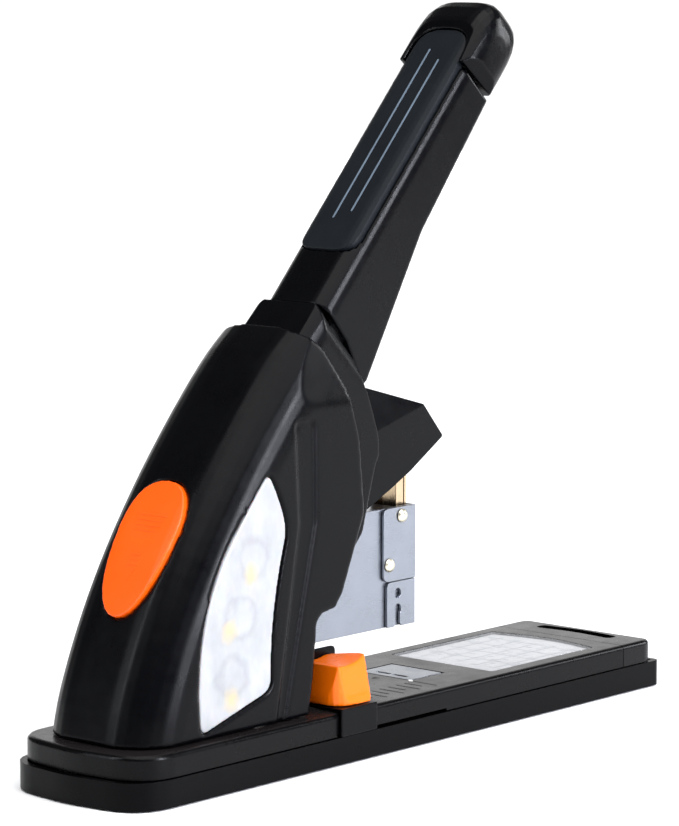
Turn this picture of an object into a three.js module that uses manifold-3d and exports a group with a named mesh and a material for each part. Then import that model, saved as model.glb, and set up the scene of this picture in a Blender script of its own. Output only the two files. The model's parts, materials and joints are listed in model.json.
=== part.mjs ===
// Heavy-duty desktop stapler with a long lever, an orange release button and a sliding paper guide.
// Millimetres. +X points to the stapling end, +Y to the left side, +Z up, and z = 0 is the table.
import * as THREE from 'three';
import { mergeVertices } from 'three/addons/utils/BufferGeometryUtils.js';
import Module from 'manifold-3d';

const wasm = await Module();
wasm.setup();

// ---------------------------------------------------------------- driving dimensions
const GAP = 0.3;                       // clearance between pieces that touch
const WALL = 2.3;                      // plastic shell thickness
const PLATE = 1.4;                     // pressed steel of the levers
const SMOOTH = 6;                      // curve segments in a rounded corner

const BASE = { length: 290, halfWidth: 31.8, seam: 10, top: 18.5, matTop: 1.5, frameBottom: 4, frameTop: 7.5 };
const COVER = { halfWidth: 31.1, rear: -142, capSeam: 121.5, skin: 2.2 };
const CAP = { frontTop: 138, frontBottom: 143.6, slotX: 133, slotWidth: 5.5, slotHalfLength: 18, slotDepth: 5 };
const LABEL = { rear: 50.5, front: 115, halfWidth: 24, depth: 1.6 };
const ANVIL = { rear: 18.5, front: 36.5, halfWidth: 12, thickness: 2, margin: 0.8 };

const LEVER_PIVOT = { x: -40, z: 112 };
const ARM_PIVOT = { x: -104, z: 56 };
const ROLLER = { x: -6, z: 102, radius: 5 };

const SLEEVE = { outer: 8.8, inner: 7.8, rear: -95, front: 22.4, bottom: 38.7, rearTop: 62, frontTop: 82 };
const BRACKET = { inner: 9.1, outer: 10.1, rear: 6, front: 24.1, lowerRear: 8, lowerFront: 23.7, split: 55.1 };
const TRAY = { outer: 7.5, inner: 6.7, floor: 40, floorTop: 40.8, top: 54.3, rear: -94, floorRear: -66, exit: 20.6 };
const STAPLE = { halfWidth: 6.4, leg: 0.9, bottom: 41.1, crown: 51.6, rear: -28, front: 21.3 };
const BLADE = { rear: 21.7, front: 22.8, halfWidth: 6.4, bottom: 52.2, top: 100 };
const PUSHER = { rear: -40.5, front: -28.3, halfWidth: 6.4, top: 52 };
const ROD = { radius: 1.4, z: 46, front: -12 };

const FRAME_PLATE = { inner: 12.5, outer: 14.3 };
const ARM = { inner: 10.5, outer: 11.9, flangeTop: 96.6 };
const LEVER = { inner: 10.3, outer: 11.7 };
const NOSE = { halfWidth: 15, ridgeHalfWidth: 7.5 };
const COLLAR = { halfWidth: 17.6, inner: 15.3, drumRadius: 32, edgeRadius: 10 };
const HANDLE = { halfWidth: 14.8, edgeRadius: 7 };
const KNOB = { seam: 111.2, centre: 116, end: 142.4, halfWidth: 17.4, back: 2.4, underside: -22, squareness: 4 };
const PAD = { halfWidth: 12.4, centre: 74.6, halfLength: 50.9 };
const HOUSING = { halfWidth: 26.6, edgeRadius: 18, bottom: 18.8, rimHalfWidth: 18.1, shoulder: 126, rimTop: 153 };
const WINDOW_SKIN = { outer: 0.4, inner: 2.2 };      // depths below the housing's surface
const BACKING = { outer: 2.9, inner: 3.9 };
const BUTTON = { proud: 1.3, depth: 4.2, halfWidth: 13, halfLength: 25, centre: { x: -109.5, z: 82 }, tilt: 22.5 };
const GUIDE = { rear: -42.3, front: -23.3, skirtInner: 31.4, skirtOuter: 32.5, shelf: 18.9, bridgeBottom: 10.3, bridge: 0.7 };
const GUIDE_TRAVEL = 38;
const CLAMP = { inner: 12.6, bottom: 20.3, top: 36.9 };
const SCREWS = [[-118, 18], [-118, -18], [104, 18], [104, -18]];
const STUDS = { xs: [-90, -64], z: 44, radius: 2.5, travel: 19.2 };

// ---------------------------------------------------------------- solids and outlines
function solid(geometry) {
  const bare = geometry.clone();
  bare.deleteAttribute('normal');
  bare.deleteAttribute('uv');
  const merged = mergeVertices(bare);
  const vertProperties = new Float32Array(merged.attributes.position.array);
  const triVerts = new Uint32Array(merged.index.array);
  return new wasm.Manifold(new wasm.Mesh({ numProp: 3, vertProperties, triVerts }));
}

function geometryOf(manifold) {
  const mesh = manifold.getMesh();
  const geometry = new THREE.BufferGeometry();
  geometry.setAttribute('position', new THREE.BufferAttribute(new Float32Array(mesh.vertProperties), 3));
  geometry.setIndex(new THREE.BufferAttribute(new Uint32Array(mesh.triVerts), 1));
  geometry.computeVertexNormals();
  return geometry;
}

const join = (first, ...others) => others.reduce((sum, next) => sum.add(next), first);
const cut = (first, ...others) => others.reduce((rest, next) => rest.subtract(next), first);
const common = (first, ...others) => others.reduce((rest, next) => rest.intersect(next), first);

// A closed outline through corners [u, v, radius]; a radius rounds that corner.
function outline(corners) {
  const shape = new THREE.Shape();
  const count = corners.length;
  for (let i = 0; i < count; i += 1) {
    const here = new THREE.Vector2(corners[i][0], corners[i][1]);
    const before = new THREE.Vector2(...corners[(i + count - 1) % count].slice(0, 2));
    const after = new THREE.Vector2(...corners[(i + 1) % count].slice(0, 2));
    const radius = corners[i][2] ?? 0;
    const toBefore = before.sub(here);
    const toAfter = after.sub(here);
    const half = Math.abs(toBefore.angleTo(toAfter)) / 2;
    const reach = Math.min(radius / Math.tan(half), toBefore.length() * 0.48, toAfter.length() * 0.48);
    const start = toBefore.setLength(reach).add(here);
    const end = toAfter.setLength(reach).add(here);
    const move = i === 0 ? 'moveTo' : 'lineTo';
    if (radius === 0) {
      shape[move](here.x, here.y);
    } else {
      shape[move](start.x, start.y);
      shape.quadraticCurveTo(here.x, here.y, end.x, end.y);
    }
  }
  shape.closePath();
  return shape;
}

function circle(u, v, radius) {
  const shape = new THREE.Shape();
  shape.absarc(u, v, radius, 0, Math.PI * 2, false);
  return shape;
}

const AXES = {
  x: [new THREE.Vector3(0, 1, 0), new THREE.Vector3(0, 0, 1), new THREE.Vector3(1, 0, 0)],
  y: [new THREE.Vector3(1, 0, 0), new THREE.Vector3(0, 0, 1), new THREE.Vector3(0, -1, 0)],
  z: [new THREE.Vector3(1, 0, 0), new THREE.Vector3(0, 1, 0), new THREE.Vector3(0, 0, 1)],
};

// Extrudes an outline along an axis. Outlines are (y, z) for x, (x, z) for y and (x, y) for z.
function prism(axis, shape, low, high, { bevel = 0, inset = 0, segments = SMOOTH, bevelSegments = 3 } = {}) {
  const length = high - low;
  const rounded = bevel > 0 || inset > 0 || inset < 0;
  const geometry = new THREE.ExtrudeGeometry(shape, {
    depth: length - 2 * bevel,
    steps: 1,
    curveSegments: segments,
    bevelEnabled: rounded,
    bevelThickness: bevel,
    bevelSize: bevel,
    bevelOffset: -bevel - inset,
    bevelSegments,
  });
  geometry.translate(0, 0, bevel);
  geometry.applyMatrix4(new THREE.Matrix4().makeBasis(...AXES[axis]));
  const shift = axis === 'y' ? high : low;
  geometry.translate(axis === 'x' ? shift : 0, axis === 'y' ? shift : 0, axis === 'z' ? shift : 0);
  return solid(geometry);
}

function box(lowX, highX, lowY, highY, lowZ, highZ) {
  const geometry = new THREE.BoxGeometry(highX - lowX, highY - lowY, highZ - lowZ);
  geometry.translate((lowX + highX) / 2, (lowY + highY) / 2, (lowZ + highZ) / 2);
  return solid(geometry);
}

// A pin along Y between two y values.
function pinY(x, z, radius, low, high, sides = 20) {
  return prism('y', circle(x, z, radius), low, high, { segments: sides / 2 });
}

// A disc or shank standing along Z.
function disc(x, y, radius, low, high) {
  return prism('z', circle(x, y, radius), low, high, { segments: 8 });
}

const mirrored = (part) => part.mirror([0, 1, 0]);
const bothSides = (part) => part.add(mirrored(part));

// A coil spring: a round wire swept along a helix about an axis through centre.
class Helix extends THREE.Curve {
  constructor(centre, axis, radius, low, high, turns) {
    super();
    Object.assign(this, { centre, axis, radius, low, high, turns });
  }

  getPoint(t) {
    const angle = t * this.turns * Math.PI * 2;
    const along = this.low + (this.high - this.low) * t;
    const across = this.radius * Math.cos(angle);
    const other = this.radius * Math.sin(angle);
    const offset = {
      x: [along, across, other],
      y: [across, along, other],
      z: [across, other, along],
    }[this.axis];
    return new THREE.Vector3(...offset).add(this.centre);
  }
}

function spring({ centre, axis, radius, wire, low, high, turns, stepsPerTurn = 12 }) {
  const path = new Helix(centre, axis, radius, low, high, turns);
  const section = new THREE.Shape();
  section.absarc(0, 0, wire / 2, 0, Math.PI * 2, false);
  const steps = Math.round(turns * stepsPerTurn);
  return solid(new THREE.ExtrudeGeometry(section, { steps, curveSegments: 3, extrudePath: path }));
}

// ---------------------------------------------------------------- materials
const finish = (color, roughness, metalness = 0) => ({ color, roughness, metalness });
const FINISH = {
  blackPlastic: finish(0x17181c, 0.4),
  greyPlastic: finish(0x2a2a2e, 0.5),
  orangePlastic: finish(0xff6a0a, 0.35),
  rubber: finish(0x111111, 0.9),
  softPad: finish(0x1b2430, 0.75),
  zincSteel: finish(0xb4bcc6, 0.3, 0.9),
  darkSteel: finish(0x4a4d52, 0.5, 0.8),
  springSteel: finish(0x8d9095, 0.35, 0.9),
  copperSteel: finish(0xb9927a, 0.3, 0.9),
  brass: finish(0xcdbb8c, 0.3, 0.9),
  paperCard: finish(0xdcdcda, 0.8),
  clear: finish(0xe8eef0, 0.1),
  frosted: finish(0xf2f3f4, 0.5),
  white: finish(0xf6f6f2, 0.6),
};

const stapler = new THREE.Group();

function add(name, part, look) {
  const mesh = new THREE.Mesh(geometryOf(part), new THREE.MeshStandardMaterial(look));
  mesh.name = name;
  stapler.add(mesh);
}

// ---------------------------------------------------------------- base
const halfLength = BASE.length / 2;
const footprint = (halfWidth, rear, front, frontRadius = 7, frontBow = 3) => outline([
  [rear + 3.5, halfWidth, 18], [rear, 0, 60], [rear + 3.5, -halfWidth, 18],
  [front - frontBow, -halfWidth, frontRadius], [front, 0, 60], [front - frontBow, halfWidth, frontRadius],
]);

function makeBase() {
  const matPlan = footprint(27, -halfLength + 6, halfLength - 6);
  const trayPlan = footprint(BASE.halfWidth, -halfLength, halfLength, 3.5, 1.2);
  add('base_mat', prism('z', matPlan, 0, BASE.matTop), FINISH.rubber);

  const lowerBody = prism('z', trayPlan, 0.5, BASE.seam);
  const matPocket = prism('z', matPlan, 0, BASE.matTop + GAP, { inset: -GAP });
  const tray = prism('z', trayPlan, BASE.frameBottom - GAP, BASE.seam + 1, { inset: 2.4 });
  const headPockets = SCREWS.map(([x, y]) => disc(x, y, 3.5, 1, 3));
  const holes = SCREWS.map(([x, y]) => disc(x, y, 1.9, 1, 12));
  add('lower_base', cut(lowerBody, matPocket, tray, ...headPockets, ...holes), FINISH.blackPlastic);

  const steel = prism('z', footprint(28.4, -halfLength + 4, halfLength - 4), BASE.frameBottom, BASE.frameTop);
  add('base_frame', cut(steel, ...holes), FINISH.darkSteel);

  SCREWS.forEach(([x, y], i) => {
    const screw = join(disc(x, y, 3.2, 2, 2.7), disc(x, y, 1.6, 2, 7));
    add(`base_screw_${i + 1}`, screw, FINISH.springSteel);
  });
}

function makeUpperBase() {
  const { halfWidth, rear, capSeam, skin } = COVER;
  const bottom = BASE.seam + GAP;
  const plan = footprint(halfWidth, rear, CAP.frontBottom);
  const block = prism('z', plan, bottom - 4, BASE.top, { bevel: 1.8 });
  const rearPart = box(-150, capSeam - GAP, -40, 40, bottom, 30);
  const frontPart = box(capSeam, 150, -40, 40, bottom, 30);
  const cavity = prism('z', plan, 0, BASE.top - skin, { inset: skin });

  const labelPlan = (grow) => outline([
    [LABEL.rear - grow, LABEL.halfWidth + grow, 1.5], [LABEL.rear - grow, -LABEL.halfWidth - grow, 1.5],
    [LABEL.front - 4 + grow, -LABEL.halfWidth - grow, 1.5], [LABEL.front + 1 + grow, 0, 60],
    [LABEL.front - 4 + grow, LABEL.halfWidth + grow, 1.5],
  ]);
  const labelFloor = BASE.top - LABEL.depth;
  const labelRecess = prism('z', labelPlan(GAP), labelFloor, BASE.top + 1);
  const anvilHole = box(ANVIL.rear - ANVIL.margin, ANVIL.front + ANVIL.margin, -ANVIL.halfWidth - ANVIL.margin,
    ANVIL.halfWidth + ANVIL.margin, 0, 30);
  const plateSlot = box(-127, -54.5, FRAME_PLATE.inner - GAP, FRAME_PLATE.outer + GAP, 0, 30);
  const springWell = box(-84, -70, -7, 7, 0, 30);
  const guideNotch = box(GUIDE.rear - 0.8, GUIDE.front + GUIDE_TRAVEL + 1.5, 24, 40, 0,
    GUIDE.bridgeBottom + GUIDE.bridge + 0.2);
  const cover = cut(common(block, rearPart), cavity, labelRecess, anvilHole, bothSides(plateSlot), springWell,
    bothSides(guideNotch));
  add('upper_base', cover, FINISH.greyPlastic);

  const slope = prism('y', outline([
    [capSeam, bottom], [CAP.frontBottom + 1, bottom], [CAP.frontTop + 1, BASE.top, 2], [capSeam, BASE.top],
  ]), -40, 40);
  const slot = prism('z', outline([
    [CAP.slotX - CAP.slotWidth / 2 - 1, -CAP.slotHalfLength, 2.4], [CAP.slotX + CAP.slotWidth / 2 - 1,
      -CAP.slotHalfLength, 2.4], [CAP.slotX + CAP.slotWidth / 2 + 1, 0, 60],
    [CAP.slotX + CAP.slotWidth / 2 - 1, CAP.slotHalfLength, 2.4],
    [CAP.slotX - CAP.slotWidth / 2 - 1, CAP.slotHalfLength, 2.4], [CAP.slotX - CAP.slotWidth / 2 + 1, 0, 60],
  ]), BASE.top - CAP.slotDepth, 30);
  add('front_cap', cut(common(block, frontPart, slope), slot), FINISH.blackPlastic);

  add('label_card', prism('z', labelPlan(0), labelFloor + 0.2, labelFloor + 0.6), FINISH.paperCard);
  add('label_window', prism('z', labelPlan(0), labelFloor + 0.85, BASE.top), FINISH.clear);
}

function makeAnvil() {
  const { rear, front, halfWidth, thickness } = ANVIL;
  const bottom = BASE.top - thickness;
  const plate = prism('z', outline([
    [rear, -halfWidth, 1], [front, -halfWidth, 1], [front, halfWidth, 1], [rear, halfWidth, 1],
  ]), bottom, BASE.top);
  const staplePlane = (BLADE.rear + BLADE.front) / 2;
  const pocket = box(staplePlane - 0.8, staplePlane + 0.8, 0.8, 7.2, BASE.top - 0.8, 30);
  add('anvil_plate', cut(plate, bothSides(pocket)), FINISH.zincSteel);
  const block = box(rear + 1, front - 1, -halfWidth + 1, halfWidth - 1, BASE.frameTop + GAP, bottom - GAP);
  add('anvil_block', block, FINISH.darkSteel);
}

// ---------------------------------------------------------------- uprights and pivots
function makeFramePlates() {
  const { inner, outer } = FRAME_PLATE;
  const side = outline([
    [-126, BASE.frameTop + GAP], [-55, BASE.frameTop + GAP], [-55, 62, 4], [-44, 84, 10], [-27, 100, 10],
    [-27, 124, 12], [-53, 124, 12], [-90, 87, 12], [-112, 52, 12], [-122, 26, 6], [-126, 17, 3],
  ]);
  const plate = prism('y', side, inner, outer);
  const slots = STUDS.xs.map((x) => {
    const half = STUDS.radius + 0.4;
    const low = STUDS.z - STUDS.travel - half - 0.3;
    return box(x - half, x + half, inner - 1, outer + 1, low, STUDS.z + half + 0.3);
  });
  const holes = [
    pinY(LEVER_PIVOT.x, LEVER_PIVOT.z, 4.3, inner - 1, outer + 1),
    pinY(ARM_PIVOT.x, ARM_PIVOT.z, 3.3, inner - 1, outer + 1),
  ];
  const left = cut(plate, ...slots, ...holes);
  add('frame_plate_left', left, FINISH.darkSteel);
  add('frame_plate_right', mirrored(left), FINISH.darkSteel);

  add('lever_pivot_pin', pinY(LEVER_PIVOT.x, LEVER_PIVOT.z, 4, -14.9, 14.9), FINISH.springSteel);
  add('arm_pivot_pin', pinY(ARM_PIVOT.x, ARM_PIVOT.z, 3, -14.9, 14.9), FINISH.springSteel);
  add('lever_return_spring', spring({
    centre: new THREE.Vector3(LEVER_PIVOT.x, 0, LEVER_PIVOT.z), axis: 'y', radius: 6.4, wire: 1.8,
    low: -8.6, high: 8.6, turns: 6,
  }), FINISH.springSteel);
  add('head_lift_spring', spring({
    centre: new THREE.Vector3(-77, 0, 0), axis: 'z', radius: 4.8, wire: 1.2,
    low: BASE.frameTop + 1, high: SLEEVE.bottom - 0.9, turns: 7,
  }), FINISH.springSteel);
}

// ---------------------------------------------------------------- rear housing
const housingBack = [
  [-134.8, 18], [-131.4, 32], [-124.8, 49], [-116.5, 66], [-105.2, 85], [-90.3, 106], [-73, 127], [-58, 143],
  [-46.5, 152.5],
];

function housingBody(inset, grow = 0) {
  const side = new THREE.Shape();
  side.moveTo(10, -20);
  side.lineTo(-138, -20);
  side.lineTo(...housingBack[0]);
  side.splineThru(housingBack.slice(1).map((point) => new THREE.Vector2(...point)));
  side.lineTo(-20, 176);
  side.lineTo(10, 176);
  side.closePath();
  const half = HOUSING.halfWidth - inset + grow;
  const body = prism('y', side, -half, half, {
    bevel: HOUSING.edgeRadius - inset / 2, inset: inset - grow, segments: 3, bevelSegments: 7,
  });
  const { shoulder, rimHalfWidth, rimTop } = HOUSING;
  const rim = rimHalfWidth - inset + grow;
  const front = outline([
    [-half, -10], [half, -10], [half, shoulder, 12], [rim + 2.5, rimTop - 6, 6], [rim, 190], [-rim, 190],
    [-rim - 2.5, rimTop - 6, 6], [-half, shoulder, 12],
  ]);
  return common(body, prism('x', front, -150, 20));
}

const housingSide = (inset) => outline([
  [-150, HOUSING.bottom], [-52.2 - inset, HOUSING.bottom], [-50 - inset, 32], [-48 - inset, 51, 2],
  [-45 - inset, 53.6, 1.5], [-38.5 - inset, 54.4, 3], [-34.5 - inset, 59.5, 3], [-23 - inset, 86, 8],
  [-25.5 - inset, 112, 20], [-32 - inset / 2, 132, 12], [-39, 145, 6], [-47, 150.5, 3], [-52, 170], [-150, 170],
]);

// The side window: a long curved rear edge, a bent front edge and small rounded corners.
function windowOutline(grow) {
  const rearEdge = [[-107, 36], [-105.6, 50], [-101.5, 64], [-93.4, 79.4], [-83.4, 92.2], [-75, 102.2]];
  const shape = new THREE.Shape();
  shape.moveTo(-71.5, 103.5 + grow);
  shape.quadraticCurveTo(-62.4 + grow, 88, -64.4 + grow, 82);
  shape.quadraticCurveTo(-72 + grow, 57, -71.6 + grow, 36);
  shape.quadraticCurveTo(-71.4 + grow, 31 - grow, -76 + grow, 29.6 - grow);
  shape.lineTo(-103 - grow, 21.4 - grow);
  shape.quadraticCurveTo(-106.3 - grow, 20.4 - grow, -106.5 - grow, 24);
  shape.splineThru(rearEdge.map(([x, z]) => new THREE.Vector2(x - grow, z)));
  shape.quadraticCurveTo(-72.6 - grow, 105 + grow, -71.5, 103.5 + grow);
  return shape;
}

function buttonPrism(grow) {
  const { halfWidth, halfLength, centre, tilt } = BUTTON;
  const w = halfWidth + grow;
  const l = halfLength + grow;
  const egg = new THREE.Shape();
  egg.moveTo(0, l);
  egg.bezierCurveTo(w * 0.75, l, w, l * 0.66, w, l * 0.3);
  egg.bezierCurveTo(w, -l * 0.45, w * 0.62, -l, 0, -l);
  egg.bezierCurveTo(-w * 0.62, -l, -w, -l * 0.45, -w, l * 0.3);
  egg.bezierCurveTo(-w, l * 0.66, -w * 0.75, l, 0, l);
  const geometry = new THREE.ExtrudeGeometry(egg, { depth: 60, bevelEnabled: false, curveSegments: 8 });
  geometry.translate(0, 0, -30);
  geometry.applyMatrix4(new THREE.Matrix4().makeBasis(...AXES.x));
  geometry.rotateY(THREE.MathUtils.degToRad(tilt));
  geometry.translate(centre.x, 0, centre.z);
  return solid(geometry);
}

function makeHousing() {
  const outerBody = common(housingBody(0), prism('y', housingSide(0), -40, 40));
  const frontFlange = box(-150, 20, -11, 11, HOUSING.bottom - 1, 90);
  const openAbove = box(-150, 20, -40, 40, 57, 200);
  const inner = housingBody(WALL);
  const behindFlange = prism('y', outline([
    [-150, 0], [-54.6, 0], [-54.6, HOUSING.bottom], [-52.4, 32], [-50.4, 56], [-50.4, 57.5], [-150, 57.5],
  ]), -40, 40);
  const hollow = common(inner, join(behindFlange, openAbove));
  const slot = common(inner, frontFlange);
  const stripLine = outline([
    [-59.5, 122, 3], [-49, 121, 3], [-48.5, 86, 3], [-65, 17], [-69.5, 17], [-57.5, 86, 3],
  ]);
  const strip = cut(prism('y', stripLine, 15, 40), housingBody(0.8));
  const windowHole = prism('y', windowOutline(GAP), 15, 40);
  const buttonHole = common(buttonPrism(0.35), box(-150, -85, -20, 20, 50, 112));
  add('rear_housing', cut(outerBody, hollow, slot, bothSides(strip), bothSides(windowHole), buttonHole),
    FINISH.blackPlastic);

  const layer = (plan, { outer, inner }) => cut(common(prism('y', plan, 15, 40), housingBody(outer)),
    housingBody(inner));
  const pane = layer(windowOutline(0), WINDOW_SKIN);
  add('side_window_left', pane, FINISH.frosted);
  add('side_window_right', mirrored(pane), FINISH.frosted);
  const backing = layer(windowOutline(1.2), BACKING);
  add('backing_strip_left', backing, FINISH.white);
  add('backing_strip_right', mirrored(backing), FINISH.white);

  const cap = cut(common(buttonPrism(0), housingBody(0, BUTTON.proud)), housingBody(BUTTON.depth));
  add('release_button', common(cap, box(-150, -85, -20, 20, 50, 112)), FINISH.orangePlastic);
}

// ---------------------------------------------------------------- lever with its covers
const HANDLE_BACK = [[-31.5, 158.6], [53, 250.6]];
const HANDLE_UNDER = [[-8.5, 130], [21.5, 181], [58, 226]];

const handleSlope = Math.atan2(HANDLE_BACK[1][1] - HANDLE_BACK[0][1], HANDLE_BACK[1][0] - HANDLE_BACK[0][0]);

// Moves a part drawn with X along the handle and Z out of its back to its place on the lever.
function onHandle(part) {
  const [start] = HANDLE_BACK;
  return part.rotate([0, -THREE.MathUtils.radToDeg(handleSlope), 0]).translate([start[0], 0, start[1]]);
}

function alongHandle(x) {
  const [start, end] = HANDLE_BACK;
  return start[1] + ((x - start[0]) * (end[1] - start[1])) / (end[0] - start[0]);
}

// The handle's rounded back, offset outward by grow, without its underside.
function handleBack(grow) {
  const low = -60;
  const high = 62;
  const shape = outline([
    [low, alongHandle(low)], [high, alongHandle(high)], [high + 60, alongHandle(high) - 60],
    [low + 60, alongHandle(low) - 60],
  ]);
  const half = HANDLE.halfWidth + grow;
  return prism('y', shape, -half, half, { bevel: HANDLE.edgeRadius, inset: -grow, bevelSegments: 5 });
}

const seamLine = [[-33, 160.2], [-19.6, 144.6], [-11.6, 128.4]];

function padPrism(grow) {
  const width = PAD.halfWidth + grow;
  const low = PAD.centre - PAD.halfLength - grow;
  const high = PAD.centre + PAD.halfLength + grow;
  const plan = outline([[high, width, 11], [low, width, 7], [low, -width, 7], [high, -width, 11]]);
  return onHandle(prism('z', plan, -12, 8));
}

// The end knob: a rounded block that flares out from the handle's end, cut square at the seam.
function knobBody() {
  const { seam, centre, end, halfWidth, back, underside, squareness } = KNOB;
  const geometry = new THREE.SphereGeometry(1, 36, 24);
  const points = geometry.attributes.position;
  for (let i = 0; i < points.count; i += 1) {
    const point = new THREE.Vector3().fromBufferAttribute(points, i);
    const powers = point.toArray().reduce((sum, value) => sum + Math.abs(value) ** squareness, 0);
    point.multiplyScalar(powers ** (-1 / squareness));
    points.setXYZ(i, point.x * (end - centre), point.y * halfWidth, (point.z * (back - underside)) / 2);
  }
  geometry.translate(centre, 0, (back + underside) / 2);
  const half = HANDLE.halfWidth;
  const flare = prism('z', outline([
    [seam, half], [seam + 7, halfWidth + 1], [end + 1, halfWidth + 1], [end + 1, -halfWidth - 1],
    [seam + 7, -halfWidth - 1], [seam, -half],
  ]), -40, 20);
  const side = prism('y', outline([
    [seam, 0.7], [seam + 13, 1.2, 5], [seam + 21, 3], [end + 1, 3], [end + 1, -30], [seam + 18, -30], [seam + 1, -20.2],
  ]), -30, 30);
  return onHandle(common(solid(geometry), flare, side));
}

function makeHandle() {
  const [rootUnder, midUnder, tipUnder] = HANDLE_UNDER;
  const sideTrim = prism('y', outline([
    [seamLine[0][0] + 0.4, seamLine[0][1] + 0.4], [seamLine[1][0] + 0.4, seamLine[1][1] + 0.2],
    [seamLine[2][0] + 0.4, seamLine[2][1]], rootUnder, midUnder, tipUnder, [43, 240.6], [20, 240],
  ]), -20, 20);
  const innerTrim = prism('y', outline([
    [-60, 110], [-6, 110], rootUnder, midUnder, tipUnder, [54, 229], [39, 239], [20, 238], [-60, 150],
  ]), -(HANDLE.halfWidth - WALL), HANDLE.halfWidth - WALL);
  const shell = cut(
    common(handleBack(0), sideTrim),
    common(handleBack(-WALL), innerTrim),
    cut(common(handleBack(2), padPrism(GAP)), handleBack(-1.2)),
  );
  add('handle_shell', shell, FINISH.blackPlastic);

  const pad = cut(common(handleBack(0.8), padPrism(0)), handleBack(-0.9));
  add('grip_pad', pad, FINISH.softPad);

  const closingHalf = HANDLE.halfWidth - WALL - GAP;
  const closing = prism('y', outline([
    [-9, 131], rootUnder, midUnder, [57.6, 225.5], [55.6, 227], [19.6, 182.6], [-10.6, 131],
  ]), -closingHalf, closingHalf);
  add('handle_bottom_cover', closing, FINISH.blackPlastic);

  add('handle_end_cap', cut(knobBody(), cut(common(handleBack(4), padPrism(GAP)), handleBack(-1.2))), FINISH.blackPlastic);
}

function makeCollar() {
  const { halfWidth, inner, drumRadius, edgeRadius } = COLLAR;
  const drum = (angle, radius) => {
    const turn = THREE.MathUtils.degToRad(angle);
    return [LEVER_PIVOT.x + radius * Math.cos(turn), LEVER_PIVOT.z + radius * Math.sin(turn)];
  };
  const drumArc = (radius, from, to) => {
    const points = [];
    for (let angle = from; angle >= to; angle -= 10) {
      points.push(drum(angle, radius));
    }
    return points;
  };
  const outerLine = outline([
    ...drumArc(drumRadius, 150, 100), [-44.6, 147.4, 1], [-32.7, 159.3], [-19.8, 144.4, 3], [-11.8, 128, 6],
    [-5.4, 111, 4], [-5, 104, 4], [-7.4, 99, 4], [-14, 77, 4], [-24, 66, 6], [-36, 78, 6], [-66, 112, 3],
  ]);
  const blockWide = prism('y', outerLine, -halfWidth, halfWidth);
  const roundBack = prism('y', outline([
    [-33.2, 161], [-33.2 + 60, 100], [-20, 20], [-100, 60], [-75, 118], [-47, 148],
  ]), -halfWidth, halfWidth, { bevel: edgeRadius, bevelSegments: 6 });
  const hollowLine = outline([
    ...drumArc(drumRadius - 2.2, 160, 100), [-42.2, 146.4], [-34, 155.4], [-20, 170.6], [20, 150], [20, 40],
    [-100, 40], [-84, 112],
  ]);
  const hollow = prism('y', hollowLine, -inner, inner, { bevel: edgeRadius - 2.5, bevelSegments: 4 });
  add('lever_collar', cut(common(blockWide, roundBack), hollow), FINISH.blackPlastic);
}

function makeLeverArm() {
  const side = outline([
    [-51, 112, 10], [-48, 124, 8], [-27, 147.5, 10], [38, 219, 3], [43.2, 213.2, 3], [18.6, 183, 10],
    [2, 155, 10], [-16, 127, 10],
    [-14, 112, 8], [-1.4, 105, 3], [-2, 97.6, 3], [-10, 97.4, 3], [-33, 102, 8], [-46, 101, 8],
  ]);
  const { inner, outer } = LEVER;
  const cheek = prism('y', side, inner, outer);
  const web = prism('y', outline([
    [-26, 148.8], [37.5, 218.8], [38.6, 217.8], [-25, 147.6],
  ]), -inner - 0.2, inner + 0.2);
  const hole = pinY(LEVER_PIVOT.x, LEVER_PIVOT.z, 4.3, -20, 20);
  const rollerHole = pinY(ROLLER.x, ROLLER.z, 2.3, -20, 20);
  add('lever_channel', cut(join(bothSides(cheek), web), hole, rollerHole), FINISH.darkSteel);

  const roller = join(
    pinY(ROLLER.x, ROLLER.z, ROLLER.radius, -9.9, 9.9),
    pinY(ROLLER.x, ROLLER.z, 2, -11.6, 11.6),
  );
  add('lever_roller', roller, FINISH.springSteel);
}

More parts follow.
